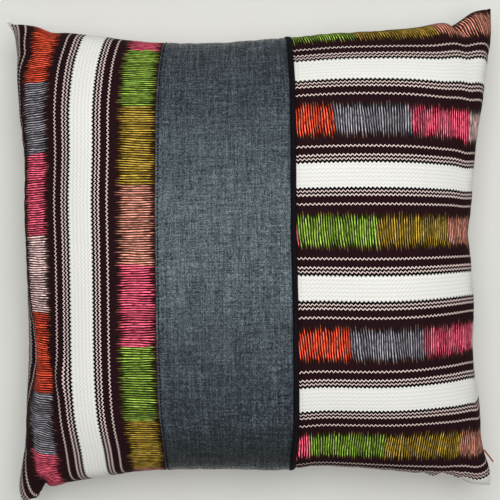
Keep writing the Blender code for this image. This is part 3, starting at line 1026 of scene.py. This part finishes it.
def ikat_strand():
    """One of the two sets of strands that cross an ikat band. Seed tells the two sets apart."""
    tree, given, result = new_group(
        "ikat_strand", ("Along", "Across", "Seed", "Slant", "Width"), ("Mask", "Tone", "Shift", "Tip"))
    slanted = maths(tree, "MULTIPLY_ADD", given["Across"], given["Slant"], given["Along"])
    turn = maths(tree, "ADD", maths(tree, "DIVIDE", slanted, THREAD_PITCH), given["Seed"])
    number = maths(tree, "ROUND", turn)
    aside = maths(tree, "MULTIPLY", maths(tree, "SUBTRACT", turn, number), THREAD_PITCH)
    end = maths(tree, "SIGN", given["Across"])
    own = dice(tree, number, given["Seed"])
    end_own = dice(tree, number, maths(tree, "MULTIPLY_ADD", end, END_SEED, given["Seed"]))

    # Each strand swells and thins along its run, and stops a little short of its neighbours or beyond them
    reach = maths(tree, "MULTIPLY_ADD", end_own, *END_SPREAD)
    from_end = maths(tree, "SUBTRACT", reach, maths(tree, "ABSOLUTE", given["Across"]))
    shown = soft_step(tree, from_end, 0.0, END_TAPER)
    own_swell = maths(tree, "MULTIPLY", number, NUMBER_TO_SWELL)
    swell = noise(tree, own_swell, given["Across"], *SWELL_GRAIN, detail=1.0)
    swell = maths(tree, "MULTIPLY_ADD", swell, *SWELL_SPREAD)
    uneven = maths(tree, "MULTIPLY_ADD", own, *WIDTH_SPREAD)
    half_width = maths(tree, "MULTIPLY", given["Width"], maths(tree, "MULTIPLY", swell, uneven))
    half_width = maths(tree, "MULTIPLY", half_width, maths(tree, "MULTIPLY_ADD", shown, *TAPER_SPREAD))
    aside_share = maths(tree, "DIVIDE", maths(tree, "ABSOLUTE", aside), half_width)
    body = soft_step(tree, aside_share, *BODY_LIMIT)
    tree.links.new(maths(tree, "MULTIPLY", body, shown), result["Mask"])

    # Tone is a painted highlight: brightest along each strand's core, streaked along its run, weaker towards
    # the band's edges, and strong at some tips
    core = soft_step(tree, aside_share, *CORE_LIMIT)
    own_streak = maths(tree, "MULTIPLY", number, NUMBER_TO_STREAK)
    streaks = noise(tree, own_streak, given["Across"], *STREAK_GRAIN, detail=2.0)
    streaks = maths(tree, "MULTIPLY_ADD", streaks, *STREAK_SPREAD)
    outward = maths(tree, "DIVIDE", maths(tree, "ABSOLUTE", given["Across"]), IKAT_HALF_WIDTH)
    dull = maths(tree, "MULTIPLY", soft_step(tree, outward, *DULL_LIMIT), DULLNESS)
    middle = maths(tree, "SUBTRACT", 1.0, dull)
    bright = maths(tree, "MULTIPLY_ADD", own, *HIGHLIGHT_SPREAD)
    bright = maths(tree, "MULTIPLY", bright, maths(tree, "MULTIPLY", streaks, middle))
    odd = maths(tree, "GREATER_THAN", end_own, PLAIN_TIPS)
    tip = maths(tree, "MULTIPLY", odd, soft_step(tree, from_end, *TIP_LIMIT))
    tree.links.new(tip, result["Tip"])
    bright = maths(tree, "MAXIMUM", bright, maths(tree, "MULTIPLY", tip, TIP_BRIGHTNESS))
    tree.links.new(maths(tree, "MULTIPLY", bright, core, clamp=True), result["Tone"])
    aside_centre = maths(tree, "MULTIPLY", given["Across"], given["Slant"])
    tree.links.new(maths(tree, "SUBTRACT", aside_centre, aside), result["Shift"])
    return tree


def ikat_threads():
    """The strands of an ikat band: a bright set over a dim and thinner one that leans the other way."""
    tree, given, result = new_group(
        "ikat_threads", ("Along", "Across"), ("Mask", "Tone", "Shift", "Tip"))
    sway = noise(tree, given["Along"], given["Across"], *SWAY_GRAIN, detail=1.0)
    sway = maths(tree, "MULTIPLY", maths(tree, "SUBTRACT", sway, 0.5), STRAND_SWAY)
    along = maths(tree, "ADD", given["Along"], sway)
    lean = noise(tree, given["Along"], 0.0, *LEAN_GRAIN, detail=1.0)
    lean = maths(tree, "MULTIPLY", maths(tree, "SUBTRACT", lean, 0.5), STRAND_LEAN)
    leaned = maths(tree, "MULTIPLY", lean, given["Across"])
    along = maths(tree, "ADD", along, leaned)
    strand = ikat_strand()
    over = use_group(tree, strand, Along=along, Across=given["Across"], Seed=0.25, Slant=THREAD_SLANT,
                     Width=0.00042)
    under = use_group(tree, strand, Along=along, Across=given["Across"], Seed=7.75, Slant=-THREAD_SLANT,
                      Width=0.00029)
    on_top = maths(tree, "GREATER_THAN", over["Mask"], maths(tree, "MULTIPLY", under["Mask"], UNDER_SHOWS))
    hidden = maths(tree, "SUBTRACT", 1.0, on_top)
    for name, dimmed in UNDER_DIMMED.items():
        upper = maths(tree, "MULTIPLY", over[name], on_top)
        lower = maths(tree, "MULTIPLY", maths(tree, "MULTIPLY", under[name], dimmed), hidden)
        both = maths(tree, "ADD", upper, lower)
        tree.links.new(maths(tree, "ADD", both, leaned) if name == "Shift" else both, result[name])
    return tree


def plain_weave():
    """Threads that pass over and under each other, some of them thicker or paler for a stretch."""
    tree, given, result = new_group("plain_weave", ("Along", "Across", "Pitch", "Slub"), ("Tone", "Height"))
    x = maths(tree, "DIVIDE", given["Along"], given["Pitch"])
    y = maths(tree, "DIVIDE", given["Across"], given["Pitch"])
    wave_x = maths(tree, "SINE", maths(tree, "MULTIPLY", x, np.pi))
    wave_y = maths(tree, "SINE", maths(tree, "MULTIPLY", y, np.pi))
    over = maths(tree, "MULTIPLY", wave_x, wave_y)
    lengthwise = noise(tree, x, y, given["Slub"], SLUB_WIDTH, detail=2.0)
    crosswise = noise(tree, x, y, SLUB_WIDTH, given["Slub"], detail=2.0)
    upper = soft_step(tree, over, *WEAVE_LIMIT)
    warp = maths(tree, "MULTIPLY", lengthwise, upper)
    weft = maths(tree, "MULTIPLY", crosswise, maths(tree, "SUBTRACT", 1.0, upper))
    tree.links.new(maths(tree, "ADD", warp, weft), result["Tone"])
    round_x = maths(tree, "ABSOLUTE", wave_x)
    round_y = maths(tree, "ABSOLUTE", wave_y)
    crowns = maths(tree, "MAXIMUM", maths(tree, "MULTIPLY", round_x, upper),
                   maths(tree, "MULTIPLY", round_y, maths(tree, "SUBTRACT", 1.0, upper)))
    tree.links.new(crowns, result["Height"])
    return tree


def use_and_handling():
    """A faint unevenness of shade from dyeing, washing and handling."""
    tree, given, result = new_group("use_and_handling", ("Along", "Across", "Depth"), ("Tone",))
    broad = noise(tree, given["Along"], given["Across"], *WEAR_GRAIN, detail=2.0)
    lint = noise(tree, given["Along"], given["Across"], *LINT_GRAIN, detail=3.0)
    both = maths(tree, "ADD", maths(tree, "SUBTRACT", broad, 0.5), maths(tree, "SUBTRACT", lint, 0.5))
    tree.links.new(maths(tree, "MULTIPLY_ADD", both, given["Depth"], 1.0), result["Tone"])
    return tree


def new_finish(name, roughness, specular):
    """A material with its shader, its tree and its two stripe coordinates."""
    material = bpy.data.materials.new(name)
    material.use_nodes = True
    tree = material.node_tree
    shader = tree.nodes["Principled BSDF"]
    shader.inputs["Roughness"].default_value = roughness
    shader.inputs["Specular IOR Level"].default_value = specular
    flat = tree.nodes.new("ShaderNodeUVMap")
    flat.uv_map = "cloth"
    parts = tree.nodes.new("ShaderNodeSeparateXYZ")
    tree.links.new(flat.outputs["UV"], parts.inputs[0])
    return material, tree, shader, parts.outputs["X"], parts.outputs["Y"]


def raise_surface(tree, shader, height, depth):
    """Gives the shader a relief from a height between 0 and 1 and its depth in metres."""
    bump = tree.nodes.new("ShaderNodeBump")
    bump.inputs["Strength"].default_value = 1.0
    bump.inputs["Distance"].default_value = depth
    tree.links.new(height, bump.inputs["Height"])
    tree.links.new(bump.outputs["Normal"], shader.inputs["Normal"])


def tinted(tree, colour, tint):
    """A colour multiplied by another."""
    return blend_colours(tree, 1.0, colour, tint, "MULTIPLY")


def shaded(tree, colour, tone):
    """A colour made darker or paler by a number that changes over the surface."""
    grey = tree.nodes.new("ShaderNodeCombineColor")
    for channel in grey.inputs:
        tree.links.new(tone, channel)
    return tinted(tree, colour, grey.outputs[0])


def shaded_by(tree, colour, share):
    """A colour made darker or brighter by one fixed share."""
    return tinted(tree, colour, (share, share, share, 1.0))


def plain_weave_group():
    """The shared weave, made once."""
    return bpy.data.node_groups.get("plain_weave") or plain_weave()


def wear_group():
    """The shared unevenness, made once."""
    return bpy.data.node_groups.get("use_and_handling") or use_and_handling()


def striped_cotton_finish():
    """Ribbed white bands, zigzag lines in pink and black, and ikat bands on a maroon ground."""
    material, tree, shader, along, across = new_finish("striped_cotton", roughness=0.85, specular=0.05)
    swing = maths(tree, "MULTIPLY", kept_number(tree, "zigzag_swing"), ZIGZAG_SWING)
    zigzag = use_group(tree, zigzag_weave(), Along=along, Across=across, Pitch=ZIGZAG_PITCH, Swing=swing)
    half = REPEAT / 2
    from_white = maths(tree, "PINGPONG", zigzag["Across"], half)
    share = maths(tree, "DIVIDE", from_white, half)
    stripes = pick_colour(tree, share, [(start / half, colour) for start, colour in STRIPES])
    floats = maths(tree, "MULTIPLY", zigzag["Beat"], maths(tree, "SUBTRACT", 1.0, zigzag["Beat"]))
    stripes = shaded(tree, stripes, maths(tree, "MULTIPLY_ADD", floats, *FLOAT_SPREAD))

    # The white band's ribs
    white = soft_step(tree, from_white, WHITE_HALF_WIDTH + WHITE_SOFTNESS, WHITE_HALF_WIDTH - WHITE_SOFTNESS)
    rib = maths(tree, "PINGPONG", zigzag["Across"], RIB_PITCH / 2)
    rib_line = maths(tree, "MULTIPLY", soft_step(tree, rib, *RIB_LIMIT), white)
    colour = blend_colours(tree, white, stripes, WHITE_COTTON)
    colour = blend_colours(tree, rib_line, colour, WHITE_RIB)

    # The ikat band, measured from its middle
    from_ikat = maths(tree, "WRAP", maths(tree, "SUBTRACT", across, half), half, -half)
    threads = use_group(tree, ikat_threads(), Along=along, Across=from_ikat)
    shifted = maths(tree, "DIVIDE", threads["Shift"], BLOCK_LENGTH)
    block = maths(tree, "FLOOR", maths(tree, "ADD", kept_number(tree, "colour_block"), shifted))
    dyes_in_band = len(IKAT_DYES) / 2
    number = maths(tree, "FLOORED_MODULO", block, dyes_in_band)
    order = maths(tree, "FLOORED_MODULO", maths(tree, "FLOOR", maths(tree, "DIVIDE", across, REPEAT)), 2.0)
    dye_number = maths(tree, "MULTIPLY_ADD", order, dyes_in_band, maths(tree, "ADD", number, 0.5))
    thread = pick_colour(tree, maths(tree, "DIVIDE", dye_number, len(IKAT_DYES)),
                         [(position / len(IKAT_DYES), colour) for position, colour in enumerate(IKAT_DYES)])
    tips = blend_colours(tree, TIP_SHARE, thread, TIP_TAN)
    thread = blend_colours(tree, threads["Tip"], thread, tips)
    flecks = noise(tree, along, across, *FLECK_GRAIN, detail=1.0)
    flecks = maths(tree, "MULTIPLY", soft_step(tree, flecks, *FLECK_LIMIT), FLECK_SHARE)
    thread = blend_colours(tree, flecks, thread, FLECK_PINK)
    # Painted light and shade on the strands: a brightened, warmer copy of the thread's colour where Tone is
    # high, and a darkened copy where it is low
    bright = shaded_by(tree, blend_colours(tree, HIGHLIGHT_TINT_SHARE, thread, WARM_HIGHLIGHT), STRAND_HIGHLIGHT)
    painted_light_and_shade = blend_colours(tree, threads["Tone"], shaded_by(tree, thread, STRAND_SHADE), bright)
    gaps = blend_colours(tree, GAP_DYED, shaded_by(tree, MAROON_GROUND, GAP_SHADE), thread)
    from_middle = maths(tree, "ABSOLUTE", from_ikat)
    inside = soft_step(tree, from_middle, IKAT_HALF_WIDTH, IKAT_HALF_WIDTH - IKAT_SOFTNESS)
    colour = blend_colours(tree, inside, colour, gaps)
    colour = blend_colours(tree, threads["Mask"], colour, painted_light_and_shade)

    wear = use_group(tree, wear_group(), Along=along, Across=across, Depth=0.10)
    weave = use_group(tree, plain_weave_group(), Along=along, Across=across, Pitch=0.00062, Slub=6.0)
    tone = maths(tree, "MULTIPLY", wear["Tone"], maths(tree, "MULTIPLY_ADD", weave["Tone"], *COTTON_SPREAD))
    tree.links.new(shaded(tree, colour, tone), shader.inputs["Base Color"])

    ground = soft_step(tree, from_white, *BEYOND_WHITE)
    raised = maths(tree, "MULTIPLY", weave["Height"], COTTON_HEIGHT)
    raised = maths(tree, "MULTIPLY_ADD", threads["Mask"], STRAND_HEIGHT, raised)
    raised = maths(tree, "SUBTRACT", raised, maths(tree, "MULTIPLY", rib_line, RIB_SINK))
    raised = maths(tree, "ADD", raised, maths(tree, "MULTIPLY", floats, FLOAT_HEIGHT))
    raised = maths(tree, "SUBTRACT", raised, maths(tree, "MULTIPLY", ground, GROUND_SINK))
    raise_surface(tree, shader, raised, COTTON_RELIEF)
    return material


def linen_thread(tree, run, thread, stretch, seed, share):
    """A share of shade for each thread, which changes from one stretch of it to the next."""
    begin = maths(tree, "MULTIPLY", dice(tree, thread, seed), THREAD_STARTS)
    piece = maths(tree, "FLOOR", maths(tree, "ADD", maths(tree, "DIVIDE", run, stretch), begin))
    shade = dice(tree, thread, maths(tree, "ADD", piece, seed))
    return maths(tree, "MULTIPLY", shade, share)


def linen_weave():
    """A plain weave whose threads change shade from stretch to stretch, both ways, under a fine grain."""
    tree, given, result = new_group("linen_weave", ("Along", "Across", "Pitch"), ("Tone", "Height"))
    x = maths(tree, "DIVIDE", given["Along"], given["Pitch"])
    y = maths(tree, "DIVIDE", given["Across"], given["Pitch"])
    column = maths(tree, "FLOOR", x)
    row = maths(tree, "FLOOR", y)
    shade = maths(tree, "ADD", linen_thread(tree, y, column, **WARP), linen_thread(tree, x, row, **WEFT))
    grain_x = maths(tree, "FLOOR", maths(tree, "DIVIDE", given["Along"], GRAIN_SIZE[0]))
    grain_y = maths(tree, "FLOOR", maths(tree, "DIVIDE", given["Across"], GRAIN_SIZE[1]))
    grain = dice(tree, grain_x, grain_y)
    shade = maths(tree, "MULTIPLY_ADD", grain, GRAIN_SHARE, shade)
    tree.links.new(shade, result["Tone"])
    over = maths(tree, "FLOORED_MODULO", maths(tree, "ADD", column, row), 2.0)
    under = maths(tree, "SUBTRACT", 1.0, over)
    round_x = maths(tree, "ABSOLUTE", maths(tree, "SINE", maths(tree, "MULTIPLY", x, np.pi)))
    round_y = maths(tree, "ABSOLUTE", maths(tree, "SINE", maths(tree, "MULTIPLY", y, np.pi)))
    crowns = maths(tree, "MULTIPLY_ADD", round_x, over, maths(tree, "MULTIPLY", round_y, under))
    tree.links.new(crowns, result["Height"])
    return tree


def slate_linen_finish():
    """A plain weave in slate grey with darker and paler slubs and a soft lustre. Painted sheen makes its
    middle paler, and painted shade darkens its lower rim.
    """
    material, tree, shader, along, across = new_finish("slate_linen", roughness=0.40, specular=0.42)
    shader.inputs["Specular Tint"].default_value = SLATE_LUSTRE
    weave = use_group(tree, linen_weave(), Along=along, Across=across, Pitch=0.00078)
    wear = use_group(tree, wear_group(), Along=along, Across=across, Depth=0.12)
    dark = soft_step(tree, weave["Tone"], *SLATE_DARK_LIMIT)
    pale = soft_step(tree, weave["Tone"], *SLATE_PALE_LIMIT)
    # Painted sheen: the middle of the panel is left paler, as if the overhead light gleamed there. The cloth
    # away from it is tinted darker and more purple.
    off_middle = maths(tree, "ABSOLUTE", maths(tree, "SUBTRACT", across, SHEEN_MIDDLE))
    outside_sheen = soft_step(tree, off_middle, *SHEEN_REACH)
    colour = blend_colours(tree, dark, SLATE_BASE, SLATE_DARK)
    colour = blend_colours(tree, outside_sheen, colour, tinted(tree, colour, SLATE_OUTSIDE_SHEEN))
    pale_thread = blend_colours(tree, outside_sheen, SLATE_PALE, tinted(tree, SLATE_PALE, SLATE_PALE_OUTSIDE_SHEEN))
    colour = blend_colours(tree, pale, colour, pale_thread)
    # Painted shade: the lower rim is darkened where the cloth turns away from the light
    rim = soft_step(tree, across, *SHADED_LOWER_RIM)
    painted_rim_shade = maths(tree, "SUBTRACT", 1.0, maths(tree, "MULTIPLY", rim, LOWER_RIM_PAINTED_SHADE))
    tone = maths(tree, "MULTIPLY", wear["Tone"], painted_rim_shade)
    tree.links.new(shaded(tree, colour, tone), shader.inputs["Base Color"])
    rough = maths(tree, "MULTIPLY_ADD", weave["Tone"], *SLATE_ROUGH_SPREAD, clamp=True)
    tree.links.new(rough, shader.inputs["Roughness"])
    raised = maths(tree, "MULTIPLY_ADD", weave["Tone"], SLATE_TONE_HEIGHT, weave["Height"])
    raise_surface(tree, shader, raised, SLATE_RELIEF)
    return material


def black_cotton_finish(name, colour):
    """Black cotton on the bias, so that its weave runs slantwise."""
    material, tree, shader, along, across = new_finish(name, roughness=0.80, specular=0.50)
    shader.inputs["IOR"].default_value = 1.15
    slant = maths(tree, "ADD", along, across)
    counter = maths(tree, "SUBTRACT", along, across)
    weave = use_group(tree, plain_weave_group(), Along=slant, Across=counter, Pitch=0.0007, Slub=5.0)
    wear = use_group(tree, wear_group(), Along=along, Across=across, Depth=0.30)
    tone = maths(tree, "MULTIPLY", maths(tree, "MULTIPLY_ADD", weave["Tone"], *BLACK_SPREAD), wear["Tone"])
    tree.links.new(shaded(tree, colour, tone), shader.inputs["Base Color"])
    raise_surface(tree, shader, weave["Height"], BLACK_RELIEF)
    return material


def rust_yarn_finish():
    """Rust-brown yarn with fine fibres that follow its twist."""
    material, tree, shader, along, across = new_finish("rust_yarn", roughness=0.70, specular=0.25)
    twisted = maths(tree, "ADD", along, maths(tree, "MULTIPLY", across, YARN_TWIST))
    fibres = noise(tree, twisted, across, *YARN_GRAIN, detail=2.0)
    tone = maths(tree, "MULTIPLY_ADD", fibres, *YARN_SPREAD)
    tree.links.new(shaded(tree, RUST_BROWN, tone), shader.inputs["Base Color"])
    raise_surface(tree, shader, fibres, YARN_RELIEF)
    return material


def floor_finish():
    """A plain, pale and matt surface."""
    material = bpy.data.materials.new("pale_floor")
    material.use_nodes = True
    shader = material.node_tree.nodes["Principled BSDF"]
    shader.inputs["Base Color"].default_value = FLOOR_PALE
    shader.inputs["Roughness"].default_value = 0.9
    shader.inputs["Specular IOR Level"].default_value = 0.1
    return material


def lay_floor(material):
    """The surface that the cushion rests on."""
    mesh = bpy.data.meshes.new("floor")
    body = bmesh.new()
    bmesh.ops.create_grid(body, x_segments=1, y_segments=1, size=FLOOR_SIZE / 2)
    body.to_mesh(mesh)
    body.free()
    mesh.materials.append(material)
    floor = bpy.data.objects.new("floor", mesh)
    bpy.context.scene.collection.objects.link(floor)


def soft_light(name, place, aim, size, power):
    """A square studio light that faces a point."""
    light = bpy.data.lights.new(name, "AREA")
    light.shape = "SQUARE"
    light.size = size
    light.energy = power
    lamp = bpy.data.objects.new(name, light)
    lamp.location = place
    lamp.rotation_euler = (Vector(aim) - Vector(place)).to_track_quat("-Z", "Y").to_euler()
    bpy.context.scene.collection.objects.link(lamp)


def set_up_studio():
    """The camera straight above the cushion, one soft light and an even sky."""
    scene = bpy.context.scene
    scene.view_settings.view_transform = "Standard"
    lay_floor(floor_finish())
    camera = bpy.data.cameras.new("camera")
    camera.lens = LENS
    camera.sensor_width = 36.0
    viewer = bpy.data.objects.new("camera", camera)
    viewer.location = EYE
    scene.collection.objects.link(viewer)
    scene.camera = viewer
    world = bpy.data.worlds.new("studio")
    world.use_nodes = True
    sky = world.node_tree.nodes["Background"]
    sky.inputs["Color"].default_value = (1.0, 1.0, 1.0, 1.0)
    sky.inputs["Strength"].default_value = 0.30
    scene.world = world
    soft_light("overhead", place=(0.07, 0.20, 1.35), aim=(0.0, 0.0, 0.05), size=0.95, power=16.3)


def dress():
    """Makes every piece of the cushion around the frame."""
    striped = striped_cotton_finish()
    slate = slate_linen_finish()
    black = black_cotton_finish("black_cotton", PIPING_BLACK)
    stitch_thread = black_cotton_finish("stitch_thread", STITCH_BLACK)
    rust = rust_yarn_finish()

    cushion_body(striped)
    left = front_panel("left_striped_cloth", -HALF_COVER, LEFT_SEAM, ("side", "seam"), left_stripes, 0,
                       striped)
    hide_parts("left_striped_panel")
    plain = front_panel("slate_cloth", LEFT_SEAM, PIPING_SEAM - PIPED_EDGE, ("stitched", "piped"),
                        plain_places, 0, slate)
    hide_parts("slate_panel")
    right = front_panel("right_striped_cloth", PIPING_SEAM + PIPED_EDGE, HALF_COVER,
                        ("piped and pressed", "side"), right_stripes, 1, striped)
    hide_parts("right_striped_panel")
    piping_cord(black)
    edge_stitches(stitch_thread)
    loose_yarn(rust)


dress()
set_up_studio()
